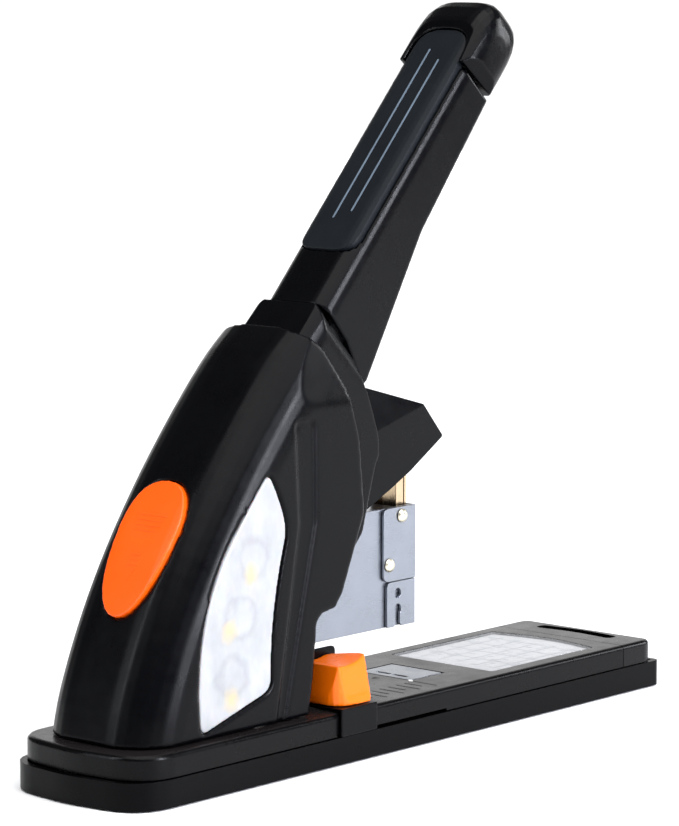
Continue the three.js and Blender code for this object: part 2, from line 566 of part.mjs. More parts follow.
// ---------------------------------------------------------------- driver arm and nose
function makeDriverArm() {
  const { inner, outer, flangeTop } = ARM;
  const side = outline([
    [-113, 55, 7], [-104, 66, 8], [-36, flangeTop, 6], [4, flangeTop, 1], [10, 101, 2], [10.5, 111, 2],
    [19, 111.5, 2], [27, 106.5, 1], [5, 93, 3], [-40, 76, 20], [-97, 48.5, 6], [-108, 48, 6],
  ]);
  const cheek = prism('y', side, inner, outer);
  const flange = box(-34, 2, -inner - 0.2, inner + 0.2, flangeTop - PLATE, flangeTop);
  const hole = pinY(ARM_PIVOT.x, ARM_PIVOT.z, 3.3, -20, 20);
  add('driver_arm', cut(join(bothSides(cheek), flange), hole), FINISH.darkSteel);
  add('hammer_bar', prism('y', outline([
    [13, 102, 1], [25.5, 107, 1], [18.5, 110.5, 1], [13, 109, 1],
  ]), -inner + GAP, inner - GAP), FINISH.zincSteel);

  const noseLine = (inset) => outline([
    [-4.6 + inset * 2.2, 127.2 - inset, 1], [22 - inset * 0.5, 119 - inset * 1.1, 2],
    [33 - inset * 1.4, 106.4 - inset * 0.4, 1], [15, 95.6 - inset * 4, 1], [3.6, 90 - inset * 4],
    [-12, 83 - inset * 4], [-17, 86 - inset * 4], [-15, 112 - inset],
  ]);
  const { halfWidth, ridgeHalfWidth } = NOSE;
  const facets = (inset) => {
    const wide = halfWidth - inset;
    const narrow = ridgeHalfWidth - inset * 0.8;
    const geometry = new THREE.ExtrudeGeometry(outline([
      [-wide, -80], [wide, -80], [wide, 0, 1.5], [narrow, 17], [-narrow, 17], [-wide, 0, 1.5],
    ]), { depth: 90, bevelEnabled: false, curveSegments: 2 });
    geometry.translate(0, 0, -45);
    geometry.applyMatrix4(new THREE.Matrix4().makeBasis(...AXES.x));
    geometry.rotateY(THREE.MathUtils.degToRad(-15));
    geometry.translate(-5, 0, 111.5 - inset);
    return solid(geometry);
  };
  const outerNose = common(prism('y', noseLine(0), -halfWidth, halfWidth), facets(0));
  const innerNose = common(prism('y', noseLine(2), -halfWidth + 2.1, halfWidth - 2.1), facets(2.1));
  const openRear = common(box(-40, 2, -halfWidth + 2.1, halfWidth - 2.1, 60, 118), facets(2.1));
  const rollerRoom = box(-40, -3, -halfWidth + 2.1, halfWidth - 2.1, 60, 130);
  add('nose_cover', cut(outerNose, innerNose, openRear, rollerRoom), FINISH.blackPlastic);
}

// ---------------------------------------------------------------- stapling head
function makeHead() {
  const { outer, inner, rear, front, bottom, rearTop, frontTop } = SLEEVE;
  const side = outline([
    [rear, bottom], [front, bottom], [front, frontTop, 1], [-7, frontTop, 1], [-30, rearTop, 4], [rear, rearTop],
  ]);
  const innerSide = outline([
    [rear - 2, bottom - 2], [front + 2, bottom - 2], [front + 2, frontTop - 1], [-6.6, frontTop - 1],
    [-29.6, rearTop - 1], [rear - 2, rearTop - 1],
  ]);
  const shell = cut(prism('y', side, -outer, outer), prism('y', innerSide, -inner, inner));
  const lip = box(rear, 5, 5.6, inner + 0.2, bottom, bottom + 1);
  const crossPlate = box(-84, -70, -inner, inner, bottom, bottom + 1);
  const bladeSlot = box(15, front + 2, -inner + 0.6, inner - 0.6, 75, 90);
  const latchSlot = box(-95.5, -84, -3, 3, rearTop - 3, rearTop + 2);
  add('head_sleeve', cut(join(shell, bothSides(lip), crossPlate), bladeSlot, latchSlot), FINISH.zincSteel);

  const bracketPlan = outline([
    [BRACKET.rear, BRACKET.outer], [BRACKET.rear, BRACKET.inner], [BRACKET.front - 1, BRACKET.inner],
    [BRACKET.front - 1, -BRACKET.inner], [BRACKET.rear, -BRACKET.inner], [BRACKET.rear, -BRACKET.outer],
    [BRACKET.front, -BRACKET.outer, 1], [BRACKET.front, BRACKET.outer, 1],
  ]);
  const bracketSide = prism('y', outline([
    [BRACKET.rear, BRACKET.split + GAP, 3], [BRACKET.front + 1, BRACKET.split + GAP],
    [BRACKET.front + 1, frontTop], [BRACKET.rear, frontTop, 2.5],
  ]), -20, 20);
  const guideBody = prism('z', bracketPlan, BRACKET.split, frontTop);
  const rivetPlaces = [[15.9, 78.8], [8.9, 61.5]];
  const rivetHoles = rivetPlaces.map(([x, z]) => pinY(x, z, 1.2, -20, 20, 12));
  add('driver_guide', cut(common(guideBody, bracketSide), ...rivetHoles), FINISH.zincSteel);

  const domeProfile = [[0, -1.1], [1, -1.1], [1, 0], [2.5, 0], [2.5, 0.2], [2.1, 0.75], [1.2, 1.2], [0, 1.35]];
  const dome = new THREE.LatheGeometry(domeProfile.map(([u, v]) => new THREE.Vector2(u, v)), 18);
  rivetPlaces.forEach(([x, z], i) => {
    const head = dome.clone().translate(x, BRACKET.outer + 0.25, z);
    add(`guide_rivet_left_${i + 1}`, solid(head), FINISH.brass);
    add(`guide_rivet_right_${i + 1}`, mirrored(solid(head)), FINISH.brass);
  });

  STUDS.xs.forEach((x, i) => {
    const stud = join(
      pinY(x, STUDS.z, STUDS.radius, outer + 0.25, 14.1, 16),
      pinY(x, STUDS.z, STUDS.radius + 1.4, outer + 0.25, 10.1, 16),
    );
    add(`guide_stud_left_${i + 1}`, stud, FINISH.springSteel);
    add(`guide_stud_right_${i + 1}`, mirrored(stud), FINISH.springSteel);
  });

  add('driver_return_spring', spring({
    centre: new THREE.Vector3(-1.2, -3.6, 0), axis: 'z', radius: 3.2, wire: 1.2,
    low: frontTop + 0.9, high: ARM.flangeTop - PLATE - 0.9, turns: 3.5,
  }), FINISH.springSteel);
}

function makeDriver() {
  const { rear, front, halfWidth, bottom, top } = BLADE;
  add('driver_blade', box(rear, front, -halfWidth, halfWidth, bottom, top), FINISH.copperSteel);
  const channel = cut(
    box(17.4, rear - GAP, -halfWidth + 0.2, halfWidth - 0.2, 66, top - 1),
    box(16, rear - 1.3, -halfWidth + 1.2, halfWidth - 1.2, 60, top + 4),
  );
  add('driver_stiffener', channel, FINISH.copperSteel);
}

function makeMagazine() {
  const { outer, inner, floor, floorTop, top, rear, floorRear, exit } = TRAY;
  const wall = box(rear, SLEEVE.front, inner, outer, floor, top);
  const base = box(floorRear, exit, -outer, outer, floor, floorTop);
  const anchor = box(floorRear, floorRear + 1.6, -outer, outer, floor, top - 2);
  const catchBar = box(rear, rear + 3, -outer, outer, 50, top);
  const rodHole = prism('x', circle(0, ROD.z, ROD.radius + GAP), floorRear - 2, floorRear + 4);
  add('magazine_tray', cut(join(bothSides(wall), base, anchor, catchBar), rodHole), FINISH.zincSteel);

  const { lowerRear, lowerFront, inner: cheekInner, outer: cheekOuter } = BRACKET;
  const plan = outline([
    [lowerRear, cheekOuter], [lowerRear, cheekInner], [BRACKET.front - 1, cheekInner],
    [BRACKET.front - 1, -cheekInner], [lowerRear, -cheekInner], [lowerRear, -cheekOuter],
    [lowerFront, -cheekOuter, 0.8], [lowerFront, cheekOuter, 0.8],
  ]);
  const cheeks = prism('y', outline([
    [lowerRear, SLEEVE.bottom, 0.6], [11.6, SLEEVE.bottom], [12.6, 39.6], [12.6, 45], [15, 45], [15, 39.6],
    [16, SLEEVE.bottom], [lowerFront + 1, SLEEVE.bottom], [lowerFront + 1, BRACKET.split],
    [lowerRear, BRACKET.split, 2],
  ]), -20, 20);
  const eye = pinY(13.8, 50.8, 1.8, -20, 20, 16);
  const keyhole = pinY(13.8, 45, 1.9, -20, 20, 16);
  const nose = cut(common(prism('z', plan, SLEEVE.bottom, BRACKET.split), cheeks), eye, keyhole);
  add('magazine_nose', nose, FINISH.zincSteel);

  const strip = cut(
    box(STAPLE.rear, STAPLE.front, -STAPLE.halfWidth, STAPLE.halfWidth, STAPLE.bottom, STAPLE.crown),
    box(STAPLE.rear - 1, STAPLE.front + 1, -STAPLE.halfWidth + STAPLE.leg, STAPLE.halfWidth - STAPLE.leg,
      STAPLE.bottom - 1, STAPLE.crown - STAPLE.leg),
  );
  add('staple_strip', strip, FINISH.zincSteel);
  add('pusher_rod', prism('x', circle(0, ROD.z, ROD.radius), floorRear + 0.4, ROD.front, { segments: 6 }),
    FINISH.springSteel);
  const pusher = cut(
    box(PUSHER.rear, PUSHER.front, -PUSHER.halfWidth, PUSHER.halfWidth, STAPLE.bottom, PUSHER.top),
    prism('x', circle(0, ROD.z, ROD.radius + 0.4), PUSHER.rear - 1, PUSHER.front + 1, { segments: 6 }),
  );
  add('staple_pusher', pusher, FINISH.orangePlastic);
  add('pusher_spring', spring({
    centre: new THREE.Vector3(0, 0, ROD.z), axis: 'x', radius: 2.7, wire: 0.9,
    low: floorRear + 2.4, high: PUSHER.rear - 0.8, turns: 8, stepsPerTurn: 10,
  }), FINISH.springSteel);
}

function makeLatch() {
  const side = outline([
    [-98.5, 80, 1.5], [-95.5, 81, 1.5], [-90, 70.5, 2], [-84, 72, 3], [-82.5, 67, 3], [-87, 64.5, 2],
    [-88.6, 54.8], [-90.6, 54.8], [-90.6, 63, 2],
  ]);
  const plate = cut(prism('y', side, -2.4, 2.4), pinY(-86, 68.4, 1.7, -5, 5, 12));
  add('release_latch', plate, FINISH.springSteel);
  const bracket = join(
    box(-88.5, -83.5, 4, 5.2, SLEEVE.rearTop + GAP, 71),
    box(-88.5, -83.5, -5.2, -4, SLEEVE.rearTop + GAP, 71),
    pinY(-86, 68.4, 1.4, -5, 5, 12),
  );
  add('latch_bracket', bracket, FINISH.darkSteel);
}

// ---------------------------------------------------------------- paper guide
function makeGuide() {
  const { rear, front, skirtInner, skirtOuter, shelf, bridgeBottom } = GUIDE;
  const bridgeTop = bridgeBottom + GUIDE.bridge;
  const bridge = box(rear, front, -skirtOuter, skirtOuter, bridgeBottom, bridgeTop);
  const skirt = box(rear, front, skirtInner, skirtOuter, bridgeBottom, shelf + 1.1);
  const shelfPlate = box(rear, front, 10.8, skirtOuter, shelf, shelf + 1.1);
  const fence = prism('y', outline([
    [-36, shelf], [-22.6, shelf], [-22.6, 37.4, 2], [-36, 37.4, 4],
  ]), 10.8, 12.2);
  add('guide_carriage', join(bridge, bothSides(skirt), bothSides(shelfPlate), bothSides(fence)),
    FINISH.blackPlastic);

  const plan = prism('z', outline([
    [-41.6, CLAMP.inner, 1], [-41.6, 30.6, 8], [-24, 31, 2.5], [-24, CLAMP.inner, 1],
  ]), CLAMP.bottom, CLAMP.top + 5);
  const draft = prism('x', outline([
    [CLAMP.inner, CLAMP.bottom], [31, CLAMP.bottom], [30, CLAMP.bottom + 3, 3], [28.2, CLAMP.top + 0.4],
    [CLAMP.inner, CLAMP.top - 2],
  ]), -50, -20);
  const thumbRest = new THREE.Shape();
  thumbRest.moveTo(-42, CLAMP.bottom);
  thumbRest.lineTo(-24, CLAMP.bottom);
  thumbRest.lineTo(-25.4, CLAMP.top);
  thumbRest.quadraticCurveTo(-31, CLAMP.top - 3.8, -39.8, CLAMP.top - 2.6);
  thumbRest.closePath();
  const clamp = common(plan, draft, prism('y', thumbRest, 0, 40));
  add('guide_clamp_left', clamp, FINISH.orangePlastic);
  add('guide_clamp_right', mirrored(clamp), FINISH.orangePlastic);
}

makeBase();
makeUpperBase();
makeAnvil();
makeFramePlates();
makeHousing();
makeHandle();
makeCollar();
makeLeverArm();
makeDriverArm();
makeHead();
makeDriver();
makeMagazine();
makeLatch();
makeGuide();

export default stapler;
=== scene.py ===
"""Looks for the heavy-duty desktop stapler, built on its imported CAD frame.

Metres throughout: +X is the stapling end, -Y the side the camera sees, +Z up, and the table is at z = 0.
"""

import json
import math

import bmesh
import bpy
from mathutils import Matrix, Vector
from mathutils.bvhtree import BVHTree


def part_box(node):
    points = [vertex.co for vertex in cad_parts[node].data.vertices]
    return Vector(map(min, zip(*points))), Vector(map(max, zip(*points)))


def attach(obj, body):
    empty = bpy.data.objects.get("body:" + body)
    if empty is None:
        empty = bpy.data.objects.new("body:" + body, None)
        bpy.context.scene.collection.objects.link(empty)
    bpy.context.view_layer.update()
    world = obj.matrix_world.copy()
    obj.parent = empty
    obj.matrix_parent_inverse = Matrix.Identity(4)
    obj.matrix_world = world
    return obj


MM = 0.001

# ---------------------------------------------------------------- camera
CAMERA_AZIMUTH = -48.783
CAMERA_ELEVATION = 7.394
CAMERA_DISTANCE = 1.311
CAMERA_AIM = Vector((-0.0065, 0.0, 0.1172))
CAMERA_LENS = 160.94
SENSOR = 36.0
CAMERA_REACH = 200.0                                        # metres, past the far edge of the floor

# ---------------------------------------------------------------- floor and lights, metres and degrees
FLOOR_RADIUS = 40.0
FLOOR_TONES = ((0.965, 0.965, 0.965), (0.985, 0.985, 0.985))
WORLD_LIGHT = 0.14
SKY_POWER = 3.15
SKY_ANGLE = 70
SKY_TILT = (16, -8, 0)
SOFTBOXES = (                                               # name, place, aim, size, power, colour
    ("near_strip", (0.32, -1.72, 0.64), (-0.03, 0, 0.12), (0.15, 1.1), 46, (0.88, 0.90, 1.0)),
    ("right_box", (1.72, -0.78, 0.64), (0, 0, 0.1), (0.5, 0.5), 11, (0.95, 0.96, 1.0)),
    ("left_strip", (-1.6, 0.7, 0.9), (-0.05, 0, 0.12), (0.2, 1.4), 14, (0.93, 0.96, 1.0)),
    ("far_sheet", (2.6, 2.2, 0.9), (0, 0, 0.05), (4.0, 1.8), 26, (1, 1, 1)),
)

# ---------------------------------------------------------------- colours, linear
BLACK_HOUSING = (0.0008, 0.0009, 0.0015)
BLACK_HANDLE = (0.0006, 0.0007, 0.0013)
BLACK_BASE = (0.0006, 0.0006, 0.0009)
# lighter brown painted on the deck's and cap's up-facing faces: a painted sheen for reflected light
PAINTED_DECK_SHEEN = (0.0105, 0.0088, 0.0090)
BUTTON_ORANGE = (0.94, 0.100, 0.0005)
CLAMP_ORANGE = (0.98, 0.165, 0.001)
SLATE = (0.0018, 0.0036, 0.0060)
SLATE_LINE = (0.13, 0.17, 0.22)
STEEL = (0.28, 0.30, 0.34)
DARK_STEEL = (0.10, 0.104, 0.11)
SPRING_STEEL = (0.46, 0.47, 0.49)
BRASS_STRIP = (0.60, 0.46, 0.30)
PALE_BRASS = (0.80, 0.75, 0.60)
CARD = (0.46, 0.46, 0.47)
DECK_INK = (0.010, 0.009, 0.010)
PLASTIC_GRAIN = 2600.0                                      # noise scale of the moulded grain
GLOSS_SPREAD = 0.05                                         # how far roughness wanders each way

# ---------------------------------------------------------------- places, millimetres
DECK_TOP = 18.5
HANDLE_START = (-31.5, 158.6)
HANDLE_END = (53.0, 250.6)
PAD_LINES = ((-3.9, 40.6, 111.3), (2.7, 37.2, 116.0))       # across, from, to
PAD_LINE_HALF_WIDTH = 0.36
PAD_LINE_HEIGHT = (0.5, 0.95)                               # bottom and top, out of the handle's back
BUTTON_CENTRE = (-109.5, 82.0)
BUTTON_TILT = 22.5
BUTTON_MARK_HEIGHT = (-0.4, 0.14)                           # bottom and top, out of the button's face
UPPER_RIBS = {"count": 4, "top": 12.2, "pitch": 1.9, "half_length": 6.6, "taper": 0.5, "half_width": 0.42}
LOWER_RIBS = {"count": 3, "top": -2.4, "pitch": 1.8, "half_length": 2.3, "taper": 0.0, "half_width": 0.38}
BUTTON_ARROW = ((-7.6, 2.2), (-7.6, -2.2), (-12.6, 0.0))
INK_HEIGHT = (0.0, 0.06)
TICK_COUNT = 8
TICK_FRONT = 17.6
TICK_PITCH = 4.55
TICK_INNER = 14.0                                           # |y| where a tick begins
LONG_TICK = 11.2
SHORT_TICK = 8.2
TICK_HALF_WIDTH = 0.42
DECK_ARROW = ((11.2, 0.0), (14.0, -1.4), (14.0, 1.4))
POINTER_HEIGHT = (0.02, 0.25)
PAINTED_GLOW_RADIUS = (0.0022, 0.0030)                              # metres: painted glow at full colour, then none
# centres of the warm glow painted on the lens and the strip behind it; nothing there gives off light
PAINTED_GLOW_SPOTS = ((-81.6, 71.5), (-91.6, 53.8), (-91.8, 30.6))
LENS_RINGS = ((-87.2, 57.5), (-90.7, 38.2), (-80.6, 76.8))
CAP_CORNER = 24.5                                           # |y| where the painted sheen on the cap's top stops and its black corners begin
SOFT_EDGE = 0.2                                             # width where two printed colours meet

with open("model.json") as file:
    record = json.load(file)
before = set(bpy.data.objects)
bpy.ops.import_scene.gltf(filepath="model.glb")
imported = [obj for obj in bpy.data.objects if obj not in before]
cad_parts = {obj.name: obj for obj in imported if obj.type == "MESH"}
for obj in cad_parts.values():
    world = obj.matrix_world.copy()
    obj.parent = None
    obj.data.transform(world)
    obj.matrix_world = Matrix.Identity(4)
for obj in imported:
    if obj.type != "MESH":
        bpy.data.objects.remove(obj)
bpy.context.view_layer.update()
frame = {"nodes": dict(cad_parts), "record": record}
nodes = frame["nodes"]


# ---------------------------------------------------------------- shader helpers
class Shader:
    """A small helper that lays out one procedural material."""

    def __init__(self, name):
        self.material = bpy.data.materials.new(name)
        self.material.use_nodes = True
        self.tree = self.material.node_tree
        self.tree.nodes.clear()
        self.out = self.node("ShaderNodeOutputMaterial")
        self.surface = self.node("ShaderNodeBsdfPrincipled")
        self.link(self.surface, "BSDF", self.out, "Surface")
        self.coords = self.node("ShaderNodeTexCoord")

    def node(self, kind, **settings):
        made = self.tree.nodes.new(kind)
        for key, value in settings.items():
            setattr(made, key, value)
        return made

    def link(self, source, output, target, socket):
        self.tree.links.new(source.outputs[output], target.inputs[socket])

    def set(self, **sockets):
        for key, value in sockets.items():
            self.surface.inputs[key.replace("_", " ")].default_value = value

    def mapped(self, scale=(1, 1, 1), location=(0, 0, 0)):
        mapping = self.node("ShaderNodeMapping")
        mapping.inputs["Scale"].default_value = scale
        mapping.inputs["Location"].default_value = location
        self.link(self.coords, "Object", mapping, "Vector")
        return mapping

    def noise(self, scale, detail=3.0, stretch=(1, 1, 1), roughness=0.55):
        noise = self.node("ShaderNodeTexNoise")
        noise.inputs["Scale"].default_value = scale
        noise.inputs["Detail"].default_value = detail
        noise.inputs["Roughness"].default_value = roughness
        self.link(self.mapped(stretch), "Vector", noise, "Vector")
        return noise

    def spread(self, source, output, low, high, from_low=0.3, from_high=0.7):
        spread = self.node("ShaderNodeMapRange")
        spread.inputs["From Min"].default_value = from_low
        spread.inputs["From Max"].default_value = from_high
        spread.inputs["To Min"].default_value = low
        spread.inputs["To Max"].default_value = high
        self.link(source, output, spread, "Value")
        return spread

    def blend(self, factor, factor_output, first, second):
        """A colour mix; first and second are colours or (node, output) pairs."""
        mix = self.node("ShaderNodeMix", data_type="RGBA")
        self.link(factor, factor_output, mix, 0)
        for value, socket in ((first, 6), (second, 7)):
            if isinstance(value[0], bpy.types.Node):
                self.tree.links.new(value[0].outputs[value[1]], mix.inputs[socket])
            else:
                mix.inputs[socket].default_value = (*value, 1.0)
        return mix

    def maths(self, operation, first, second=None):
        made = self.node("ShaderNodeMath", operation=operation)
        for value, socket in ((first, 0), (second, 1)):
            if isinstance(value, tuple):
                self.tree.links.new(value[0].outputs[value[1]], made.inputs[socket])
            elif value is not None:
                made.inputs[socket].default_value = value
        return made

    def bump(self, height, output, strength, distance, under=None):
        bump = self.node("ShaderNodeBump")
        bump.inputs["Strength"].default_value = strength
        bump.inputs["Distance"].default_value = distance
        self.link(height, output, bump, "Height")
        if under is not None:
            self.link(under, "Normal", bump, "Normal")
        self.link(bump, "Normal", self.surface, "Normal")
        return bump

    def up_facing(self, low=0.80, high=0.92):
        """1 where the surface faces up, 0 elsewhere."""
        geometry = self.node("ShaderNodeNewGeometry")
        split = self.node("ShaderNodeSeparateXYZ")
        self.link(geometry, "Normal", split, "Vector")
        return self.spread(split, "Z", 0.0, 1.0, low, high)

    def distance_to(self, split, x, z):
        """Distance in metres, seen from the side, to a place given in millimetres."""
        across = self.maths("SUBTRACT", (split, "X"), x * MM)
        up = self.maths("SUBTRACT", (split, "Z"), z * MM)
        across_squared = self.maths("MULTIPLY", (across, 0), (across, 0))
        up_squared = self.maths("MULTIPLY", (up, 0), (up, 0))
        return self.maths("SQRT", (self.maths("ADD", (across_squared, 0), (up_squared, 0)), 0))

    def above(self, source, output, place):
        """0 below a place in metres and 1 past it, with a soft edge."""
        return self.spread(source, output, 0.0, 1.0, place, place + SOFT_EDGE * MM)

    def below(self, source, output, place):
        """1 below a place in metres and 0 past it, with a soft edge."""
        return self.spread(source, output, 1.0, 0.0, place, place + SOFT_EDGE * MM)

    def place_axes(self):
        """The object's own X, Y and Z, as separate numbers in metres."""
        split = self.node("ShaderNodeSeparateXYZ")
        self.link(self.coords, "Object", split, "Vector")
        return split

    def product(self, first, *others):
        """Multiplies one-number outputs together; each of the others is a node or a number."""
        result = first
        for other in others:
            factor = other if isinstance(other, float) else (other, 0)
            result = self.maths("MULTIPLY", (result, 0), factor)
        return result

    def cells(self, size, gap, softness, shift, offset=0.0, every=2):
        """A flat grid of cells with gaps between them, in metres; shift moves it in X and Y."""
        grid = self.node("ShaderNodeTexBrick", offset=offset, offset_frequency=every)
        grid.inputs["Scale"].default_value = 1.0
        grid.inputs["Brick Width"].default_value = size[0]
        grid.inputs["Row Height"].default_value = size[1]
        grid.inputs["Mortar Size"].default_value = gap
        grid.inputs["Mortar Smooth"].default_value = softness
        grid.inputs["Color1"].default_value = (0.0, 0.0, 0.0, 1)
        grid.inputs["Color2"].default_value = (1.0, 1.0, 1.0, 1)
        grid.inputs["Mortar"].default_value = (0.0, 0.0, 0.0, 1)
        self.link(self.mapped(location=(*shift, 0)), "Vector", grid, "Vector")
        return grid

    def greatest(self, values):
        """The largest of several one-number outputs."""
        most = values[0]
        for value in values[1:]:
            most = self.maths("MAXIMUM", (most, 0), (value, 0))
        return most


def tinted(colour, factor):
    return tuple(min(1.0, part * factor) for part in colour)


def moulded_plastic(name, colour, roughness, gloss, grain_depth=0.035, top=None, corner=None):
    """Injection moulded plastic: fine spark-eroded grain, faint flow clouds and uneven gloss.

    A top colour shows on faces that look up, and inside |y| < corner when a corner is given; it is a
    painted sheen, standing in for the light a glossy top reflects.
    """
    shader = Shader(name)
    clouds = shader.noise(38.0, detail=4.0)
    fine = shader.noise(PLASTIC_GRAIN, detail=2.0)
    worn = shader.noise(210.0, detail=6.0, roughness=0.7)
    tone = shader.blend(clouds, "Fac", tinted(colour, 0.85), tinted(colour, 1.16))
    # painted sheen: up-facing faces take the lighter top colour
    if top is not None:
        painted_sheen_mask = shader.up_facing()
        if corner is not None:
            inside = shader.below(shader.maths("ABSOLUTE", (shader.place_axes(), "Y")), 0, corner * MM)
            painted_sheen_mask = shader.product(painted_sheen_mask, inside)
        surface = shader.blend(clouds, "Fac", tinted(top, 0.9), tinted(top, 1.1))
        tone = shader.blend(painted_sheen_mask, 0, (tone, 2), (surface, 2))
    shader.link(tone, 2, shader.surface, "Base Color")
    sheen = shader.spread(clouds, "Fac", roughness - GLOSS_SPREAD, roughness + GLOSS_SPREAD)
    scuffs = shader.spread(worn, "Fac", -0.03, 0.04)
    both = shader.maths("ADD", (sheen, "Result"), (scuffs, "Result"))
    shader.link(both, "Value", shader.surface, "Roughness")
    shader.bump(fine, "Fac", grain_depth, 0.0004)
    shader.set(IOR=1.5, Specular_IOR_Level=gloss)
    return shader.material


def glossy_plastic(name, colour, roughness=0.26):
    """Polished coloured plastic with a thin clear skin and soft mould flow."""
    shader = Shader(name)
    clouds = shader.noise(60.0, detail=3.0)
    tone = shader.blend(clouds, "Fac", tinted(colour, 0.9), tinted(colour, 1.06))
    shader.link(tone, 2, shader.surface, "Base Color")
    gloss = shader.spread(clouds, "Fac", roughness - 0.05, roughness + 0.08)
    shader.link(gloss, "Result", shader.surface, "Roughness")
    fine = shader.noise(1500.0, detail=2.0)
    shader.bump(fine, "Fac", 0.02, 0.0003)
    shader.set(Coat_Weight=0.12, Coat_Roughness=0.15, IOR=1.48, Specular_IOR_Level=0.3)
    return shader.material


def plated_steel(name, colour, roughness=0.3, stretch=(6, 90, 90), spangle=True):
    """Pressed steel: rolled lines along X, a faint plating spangle and rubbed patches."""
    shader = Shader(name)
    lines = shader.noise(60.0, detail=6.0, stretch=stretch, roughness=0.7)
    patches = shader.noise(90.0, detail=3.0)
    tone = shader.blend(patches, "Fac", tinted(colour, 0.86), tinted(colour, 1.12))
    shader.link(tone, 2, shader.surface, "Base Color")
    rubbed = shader.spread(lines, "Fac", roughness - 0.08, roughness + 0.12)
    uneven = shader.spread(patches, "Fac", -0.05, 0.07)
    both = shader.maths("ADD", (rubbed, "Result"), (uneven, "Result"))
    shader.link(both, "Value", shader.surface, "Roughness")
    under = shader.bump(lines, "Fac", 0.05, 0.0002)
    if spangle:
        cells = shader.node("ShaderNodeTexVoronoi", feature="SMOOTH_F1")
        cells.inputs["Scale"].default_value = 420.0
        shader.link(shader.coords, "Object", cells, "Vector")
        shader.bump(cells, "Distance", 0.03, 0.0003, under=under)
    shader.set(Metallic=1.0)
    return shader.material


def rubber(name, colour, roughness=0.72, grain=1400.0, depth=0.12):
    """Soft-touch elastomer with a dry, pebbled skin."""
    shader = Shader(name)
    pebbles = shader.node("ShaderNodeTexVoronoi", feature="F1")
    pebbles.inputs["Scale"].default_value = grain
    shader.link(shader.coords, "Object", pebbles, "Vector")
    dust = shader.noise(55.0, detail=5.0)
    tone = shader.blend(dust, "Fac", tinted(colour, 0.8), tinted(colour, 1.25))
    shader.link(tone, 2, shader.surface, "Base Color")
    dry = shader.spread(dust, "Fac", roughness - 0.08, roughness + 0.08)
    shader.link(dry, "Result", shader.surface, "Roughness")
    shader.bump(pebbles, "Distance", depth, 0.0002)
    shader.set(Sheen_Weight=0.03, Specular_IOR_Level=0.15)
    return shader.material


def frosted_lens(name):
    """Milky lens: soft grey swirls round three warm spots of painted glow, which stand in for light shining
    through.
    """
    shader = Shader(name)
    split = shader.place_axes()
    ripple = shader.noise(120.0, detail=3.0)
    smoke = shader.noise(95.0, detail=2.0, stretch=(1.6, 1, 1))
    wobble = shader.spread(ripple, "Fac", -0.0016, 0.0016)

    def bent(x, z):
        return shader.maths("ADD", (shader.distance_to(split, x, z), 0), (wobble, 0))

    # painted glow: warm spots mixed into the base colour; the lens gives off no light
    painted_glow = shader.greatest([
        shader.spread(bent(x, z), 0, 1.0, 0.0, 0.0008, 0.0046) for x, z in PAINTED_GLOW_SPOTS
    ])
    halos = []
    for x, z in LENS_RINGS:
        offset = shader.maths("SUBTRACT", (bent(x, z), 0), 0.0068)
        halos.append(shader.spread(shader.maths("ABSOLUTE", (offset, 0)), 0, 1.0, 0.0, 0.0002, 0.0024))
    milky = shader.blend(smoke, "Fac", (0.27, 0.28, 0.29), (0.45, 0.455, 0.465))
    soft_ring = shader.product(shader.greatest(halos), 0.30)
    ringed = shader.blend(soft_ring, 0, (milky, 2), (0.20, 0.205, 0.22))
    soft_painted_glow = shader.product(painted_glow, 0.62)
    painted_glow_tone = shader.blend(soft_painted_glow, 0, (ringed, 2), (0.60, 0.44, 0.18))
    shader.link(painted_glow_tone, 2, shader.surface, "Base Color")
    shader.link(shader.spread(ripple, "Fac", 0.34, 0.5), "Result", shader.surface, "Roughness")
    shader.bump(ripple, "Fac", 0.06, 0.0004)
    shader.set(Subsurface_Weight=0.25, Subsurface_Scale=0.004, Coat_Weight=0.3, Coat_Roughness=0.3)
    return shader.material


def printed_card(name):
    """Light card with a generic printed chart: a grey head band, a ruled grid and short bars."""
    shader = Shader(name)
    ruling = shader.cells((0.0118, 0.0086), 0.0005, 0.1, (0.0012, 0.0006))
    bars = shader.cells((0.0039, 0.0043), 0.0011, 0.2, (0.0004, 0.0009), 0.37, 3)
    split = shader.place_axes()
    low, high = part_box("label_card")
    between_sides = shader.below(shader.maths("ABSOLUTE", (split, "Y")), 0, high[1] - 0.0022)
    chart = shader.product(between_sides, shader.above(split, "X", low[0] + 0.0080),
                           shader.below(split, "X", high[0] - 0.0070))
    band = shader.product(shader.above(split, "X", low[0] + 0.0032),
                          shader.below(split, "X", low[0] + 0.0066), between_sides, 0.5)
    fibres = shader.noise(900.0, detail=4.0, stretch=(1, 3, 1))
    paper = shader.blend(fibres, "Fac", tinted(CARD, 0.95), tinted(CARD, 1.05))
    headed = shader.blend(band, 0, (paper, 2), (0.36, 0.36, 0.38))
    ink = shader.product(shader.spread(bars, "Color", 0.0, 0.75, 0.25, 0.9), chart)
    inked = shader.blend(ink, 0, (headed, 2), (0.24, 0.25, 0.27))
    lines = shader.product(shader.maths("MULTIPLY", (ruling, "Fac"), (chart, 0)), 0.85)
    ruled = shader.blend(lines, 0, (inked, 2), (0.22, 0.23, 0.25))
    shader.link(ruled, 2, shader.surface, "Base Color")
    shader.link(shader.spread(fibres, "Fac", 0.45, 0.6), "Result", shader.surface, "Roughness")
    shader.bump(fibres, "Fac", 0.04, 0.0002)
    return shader.material


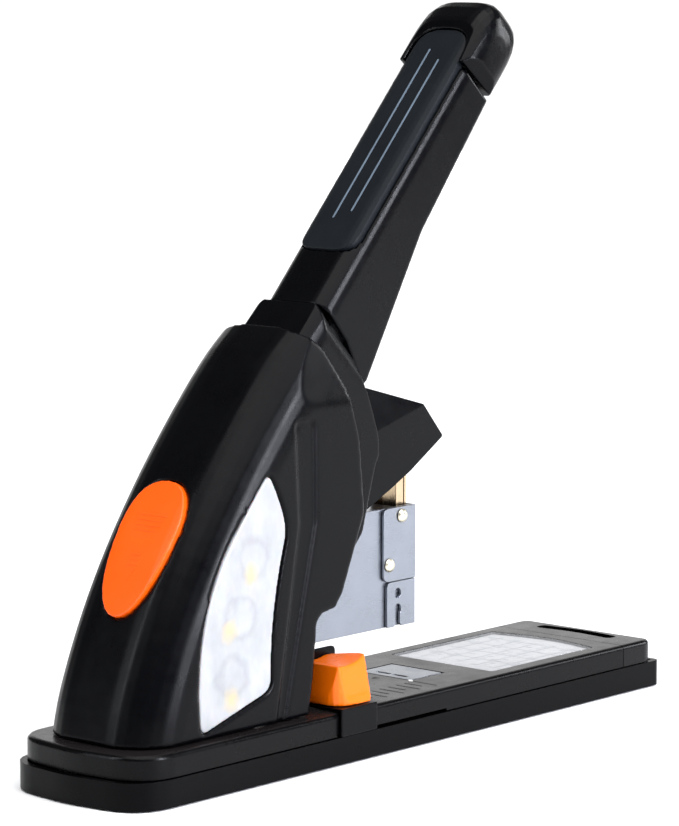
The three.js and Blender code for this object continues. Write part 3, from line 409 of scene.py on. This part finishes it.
def clear_window(name):
    """Thin clear cover: mostly see-through, with a smooth skin and faint haze."""
    shader = Shader(name)
    haze = shader.noise(160.0, detail=4.0)
    clear = shader.node("ShaderNodeBsdfTransparent")
    mix = shader.node("ShaderNodeMixShader")
    amount = shader.spread(haze, "Fac", 0.10, 0.16)
    shader.link(amount, "Result", mix, 0)
    shader.link(clear, 0, mix, 1)
    shader.link(shader.surface, "BSDF", mix, 2)
    shader.link(mix, 0, shader.out, "Surface")
    shader.link(shader.spread(haze, "Fac", 0.05, 0.14), "Result", shader.surface, "Roughness")
    shader.set(Base_Color=(0.9, 0.92, 0.94, 1), Specular_IOR_Level=0.8)
    return shader.material


def painted_glow_strip(name):
    """White moulded strip behind the lens with three pale yellow spots of painted glow."""
    shader = Shader(name)
    split = shader.place_axes()
    # painted glow in the base colour at the spot centres; the strip gives off no light
    painted_glow = shader.greatest([
        shader.spread(shader.distance_to(split, x, z), 0, 1.0, 0.0, *PAINTED_GLOW_RADIUS) for x, z in PAINTED_GLOW_SPOTS
    ])
    specks = shader.noise(500.0, detail=3.0)
    white = shader.blend(specks, "Fac", (0.74, 0.74, 0.72), (0.84, 0.84, 0.82))
    painted_glow_spotted = shader.blend(painted_glow, 0, (white, 2), (0.85, 0.70, 0.30))
    shader.link(painted_glow_spotted, 2, shader.surface, "Base Color")
    shader.link(shader.spread(specks, "Fac", 0.5, 0.62), "Result", shader.surface, "Roughness")
    return shader.material


LOOKS = {
    "rubber": rubber("mat_rubber", (0.012, 0.012, 0.013), 0.85, 900.0, 0.3),
    "base_black": moulded_plastic("base_plastic", BLACK_BASE, 0.32, grain_depth=0.02, gloss=0.07),
    # the deck's up-facing faces get a painted sheen
    "deck_plastic": moulded_plastic("deck_plastic", BLACK_BASE, 0.27, grain_depth=0.02, gloss=0.12,
                                    top=PAINTED_DECK_SHEEN),
    "housing_black": moulded_plastic("housing_plastic", BLACK_HOUSING, 0.30, gloss=0.10),
    "handle_black": moulded_plastic("handle_plastic", BLACK_HANDLE, 0.27, gloss=0.11),
    "gloss_orange": glossy_plastic("orange_plastic", CLAMP_ORANGE),
    "soft_pad": rubber("pad_rubber", SLATE, 0.5),
    "zinc_steel": plated_steel("zinc_steel", STEEL, 0.3),
    "dark_steel": plated_steel("dark_steel", DARK_STEEL, 0.45),
    "spring_steel": plated_steel("spring_steel", SPRING_STEEL, 0.26, (40, 40, 40), False),
    "copper_steel": plated_steel("copper_steel", BRASS_STRIP, 0.24, (90, 90, 5), False),
    "brass_rivet": plated_steel("brass_rivet", PALE_BRASS, 0.3, (40, 40, 40), False),
    "chart_card": printed_card("chart_card"),
    "clear_window": clear_window("clear_window"),
    "frosted_lens": frosted_lens("frosted_lens"),
    "white_strip": painted_glow_strip("painted_glow_strip"),
}
OWN_LOOKS = {
    "release_button": glossy_plastic("button_plastic", BUTTON_ORANGE, 0.34),
    # the cap's up-facing faces get a painted sheen inside its black corners
    "front_cap": moulded_plastic("cap_plastic_painted_sheen", BLACK_BASE, 0.28, grain_depth=0.02, gloss=0.15,
                                 top=PAINTED_DECK_SHEEN, corner=CAP_CORNER),
}

# ---------------------------------------------------------------- CAD nodes that stay
# Moulded nodes: voxel size in millimetres, then smoothing passes. EDGES: bevel width in millimetres.
MOULDED = {
    "rear_housing": (0.74, 5),
    "release_button": (0.34, 5),
    "side_window_left": (0.5, 2),
    "side_window_right": (0.5, 2),
    "lever_collar": (0.6, 3),
    "handle_shell": (0.6, 2),
    "handle_end_cap": (0.45, 3),
    "handle_bottom_cover": (0.6, 2),
    "grip_pad": (0.4, 2),
    "guide_carriage": (0.4, 1),
    "guide_clamp_left": (0.35, 6),
    "guide_clamp_right": (0.35, 6),
}
EDGES = {"upper_base": 0.35, "lower_base": 0.35, "front_cap": 0.35, "nose_cover": 0.7}
PLAIN_EDGE = 0.2
MERGE_DISTANCE = 0.002
FLAT_ANGLE = 1.0                                            # degrees: faces this close to flat are joined
SHARP_ANGLE = 38                                            # degrees: edges sharper than this are broken
PLAIN = ("lever_return_spring", "head_lift_spring", "driver_return_spring", "pusher_spring")
SLOT_OF = {part["node"]: part["material_slot"] for part in frame["record"]["subparts"]}


def joined(piece):
    """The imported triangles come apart; this joins their shared corners."""
    piece.modifiers.new("joined", "WELD").merge_threshold = MERGE_DISTANCE * MM


def soften(piece, voxel, passes):
    """Rounds every edge a little, as a mould does."""
    remesh = piece.modifiers.new("moulded", "REMESH")
    remesh.mode = "VOXEL"
    remesh.voxel_size = voxel * MM
    remesh.use_smooth_shade = True
    smooth = piece.modifiers.new("rounded", "SMOOTH")
    smooth.factor = 0.5
    smooth.iterations = passes


def press(piece, width):
    """Breaks the sharp edges of a pressed or machined piece."""
    merge = piece.modifiers.new("flats", "DECIMATE")
    merge.decimate_type = "DISSOLVE"
    merge.angle_limit = math.radians(FLAT_ANGLE)
    edge = piece.modifiers.new("broken_edges", "BEVEL")
    edge.width = width * MM
    edge.segments = 3
    edge.limit_method = "ANGLE"
    edge.angle_limit = math.radians(SHARP_ANGLE)
    piece.modifiers.new("shading", "WEIGHTED_NORMAL")


for name, node in nodes.items():
    node.data.materials.clear()
    node.data.materials.append(OWN_LOOKS.get(name, LOOKS[SLOT_OF[name]]))
    joined(node)
    if name in MOULDED:
        soften(node, *MOULDED[name])
    elif name in PLAIN:
        node.modifiers.new("shading", "WEIGHTED_NORMAL")
    else:
        press(node, EDGES.get(name, PLAIN_EDGE))
    for face in node.data.polygons:
        face.use_smooth = True


# ---------------------------------------------------------------- new pieces
def piece_from(name, mesh, look, body, bevel=0.0):
    """Turns a bmesh into a piece that rides on a body."""
    data = bpy.data.meshes.new(name)
    bmesh.ops.recalc_face_normals(mesh, faces=mesh.faces)
    mesh.to_mesh(data)
    mesh.free()
    made = bpy.data.objects.new(name, data)
    bpy.context.scene.collection.objects.link(made)
    data.materials.append(look)
    if bevel:
        edge = made.modifiers.new("rounded_edges", "BEVEL")
        edge.width = bevel * MM
        edge.segments = 3
        edge.limit_method = "ANGLE"
        for face in data.polygons:
            face.use_smooth = True
        made.modifiers.new("shading", "WEIGHTED_NORMAL")
    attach(made, body)


def slab(mesh, outline, height, place):
    """Adds a flat slab: outline points (u, v) swept over a height (low, high), mapped by place(u, v, w)."""
    bottom = [mesh.verts.new(place(u, v, height[0])) for u, v in outline]
    top = [mesh.verts.new(place(u, v, height[1])) for u, v in outline]
    mesh.faces.new(bottom)
    mesh.faces.new(top)
    count = len(outline)
    for i in range(count):
        j = (i + 1) % count
        mesh.faces.new((bottom[i], bottom[j], top[j], top[i]))


def rounded_bar(half_length, half_width, steps=6):
    """A bar with round ends, along u."""
    points = []
    for side, start in ((1, -90), (-1, 90)):
        for i in range(steps + 1):
            angle = math.radians(start + 180 * i / steps)
            points.append((side * (half_length - half_width) + half_width * math.cos(angle),
                           half_width * math.sin(angle)))
    return points


def on_handle(u, v, w):
    """u along the handle from its root, v across, w out of its back, in millimetres."""
    slope = math.atan2(HANDLE_END[1] - HANDLE_START[1], HANDLE_END[0] - HANDLE_START[0])
    return Vector((
        HANDLE_START[0] + u * math.cos(slope) - w * math.sin(slope),
        v,
        HANDLE_START[1] + u * math.sin(slope) + w * math.cos(slope),
    )) * MM


def on_deck(u, v, w):
    """u along the deck, v across it and w above it, in millimetres."""
    return Vector((u, v, DECK_TOP + w)) * MM


def button_mapper():
    """Gives a function that puts a point on the button's curved face."""
    tilt = math.radians(BUTTON_TILT)
    outward = Vector((-math.cos(tilt), 0, math.sin(tilt)))
    mesh = nodes["release_button"].data
    skin = BVHTree.FromPolygons(
        [vertex.co for vertex in mesh.vertices], [face.vertices[:] for face in mesh.polygons])

    def on_button(u, v, w):
        """u up the button, v across it, w out of its moulded face, in millimetres."""
        up = (BUTTON_CENTRE[0] + u * math.sin(tilt), v, BUTTON_CENTRE[1] + u * math.cos(tilt))
        hit = skin.ray_cast(Vector(up) * MM + outward * 20 * MM, -outward)[0]
        return hit + outward * w * MM

    return on_button


def make_pad_lines():
    """Two pale lines let into the grip pad."""
    mesh = bmesh.new()
    for across, start, end in PAD_LINES:
        bar = rounded_bar((end - start) / 2, PAD_LINE_HALF_WIDTH)
        slab(mesh, [((start + end) / 2 + u, across + v) for u, v in bar], PAD_LINE_HEIGHT, on_handle)
    look = rubber("pad_line", SLATE_LINE, 0.5, 1400.0, 0.05)
    piece_from("grip_pad_lines", mesh, look, "lever")


def make_button_marks():
    """Generic ribs and a plain arrow moulded on the button."""
    mesh = bmesh.new()
    on_button = button_mapper()
    for ribs in (UPPER_RIBS, LOWER_RIBS):
        for row in range(ribs["count"]):
            height = ribs["top"] - ribs["pitch"] * row
            bar = rounded_bar(ribs["half_length"] - ribs["taper"] * row, ribs["half_width"], 4)
            slab(mesh, [(height - b, a) for a, b in bar], BUTTON_MARK_HEIGHT, on_button)
    slab(mesh, BUTTON_ARROW, BUTTON_MARK_HEIGHT, on_button)
    piece_from("button_ribs", mesh, OWN_LOOKS["release_button"], "button", 0.05)


def make_deck_scale():
    """Printed ticks on the deck at each side of the anvil, with a small arrow between them."""
    mesh = bmesh.new()
    for side in (-1, 1):
        for count in range(TICK_COUNT):
            x = TICK_FRONT - TICK_PITCH * count
            reach = LONG_TICK if count % 2 == 0 else SHORT_TICK
            bar = rounded_bar(reach / 2, TICK_HALF_WIDTH, 3)
            slab(mesh, [(x + b, side * (TICK_INNER + reach / 2 + a)) for a, b in bar], INK_HEIGHT, on_deck)
    slab(mesh, DECK_ARROW, INK_HEIGHT, on_deck)
    look = moulded_plastic("deck_ink", DECK_INK, 0.45, gloss=0.2)
    piece_from("deck_scale", mesh, look, "root")


def make_anvil_pointers():
    """A pale pointer at each rear corner of the anvil plate."""
    mesh = bmesh.new()
    low, high = (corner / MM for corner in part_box("anvil_plate"))
    for side in (-1, 1):
        outline = (
            (low[0] + 0.2, side * (high[1] + 0.9)),
            (low[0] - 0.9, side * (high[1] - 0.2)),
            (low[0] - 2.6, side * (high[1] + 1.5)),
            (low[0] - 1.5, side * (high[1] + 2.6)),
        )
        slab(mesh, outline, POINTER_HEIGHT, on_deck)
    piece_from("anvil_pointers", mesh, LOOKS["white_strip"], "root", 0.05)


make_pad_lines()
make_button_marks()
make_deck_scale()
make_anvil_pointers()


# ---------------------------------------------------------------- floor, light and camera
def make_floor():
    mesh = bmesh.new()
    bmesh.ops.create_circle(mesh, cap_ends=True, segments=96, radius=FLOOR_RADIUS)
    data = bpy.data.meshes.new("floor")
    mesh.to_mesh(data)
    mesh.free()
    floor = bpy.data.objects.new("floor", data)
    bpy.context.scene.collection.objects.link(floor)
    shader = Shader("pale_floor")
    cloud = shader.noise(3.0)
    tone = shader.blend(cloud, "Fac", *FLOOR_TONES)
    shader.link(tone, 2, shader.surface, "Base Color")
    shader.set(Roughness=1.0, Specular_IOR_Level=0.0)
    data.materials.append(shader.material)


def softbox(name, place, aim, size, power, colour):
    data = bpy.data.lights.new(name, "AREA")
    data.shape = "RECTANGLE"
    data.size, data.size_y = size
    data.energy = power
    data.color = colour
    lamp = bpy.data.objects.new(name, data)
    lamp.location = place
    lamp.rotation_euler = (Vector(aim) - Vector(place)).to_track_quat("-Z", "Y").to_euler()
    lamp.visible_camera = False
    bpy.context.scene.collection.objects.link(lamp)


def make_light():
    world = bpy.data.worlds.new("studio")
    world.use_nodes = True
    world.node_tree.nodes["Background"].inputs["Color"].default_value = (1, 1, 1, 1)
    world.node_tree.nodes["Background"].inputs["Strength"].default_value = WORLD_LIGHT
    bpy.context.scene.world = world
    data = bpy.data.lights.new("sky_sheet", "SUN")
    data.energy = SKY_POWER
    data.angle = math.radians(SKY_ANGLE)
    sun = bpy.data.objects.new("sky_sheet", data)
    sun.rotation_euler = [math.radians(turn) for turn in SKY_TILT]
    bpy.context.scene.collection.objects.link(sun)
    for lamp in SOFTBOXES:
        softbox(*lamp)


def make_camera():
    azimuth = math.radians(CAMERA_AZIMUTH)
    elevation = math.radians(CAMERA_ELEVATION)
    back = Vector((math.sin(azimuth) * math.cos(elevation), -math.cos(azimuth) * math.cos(elevation),
                   math.sin(elevation)))
    data = bpy.data.cameras.new("camera")
    data.lens = CAMERA_LENS
    data.sensor_fit = "AUTO"
    data.sensor_width = SENSOR
    data.clip_end = CAMERA_REACH
    camera = bpy.data.objects.new("camera", data)
    camera.location = CAMERA_AIM + back * CAMERA_DISTANCE
    camera.rotation_euler = back.to_track_quat("Z", "Y").to_euler()
    bpy.context.scene.collection.objects.link(camera)
    bpy.context.scene.camera = camera


make_floor()
make_light()
make_camera()
bpy.context.scene.view_settings.view_transform = "Standard"
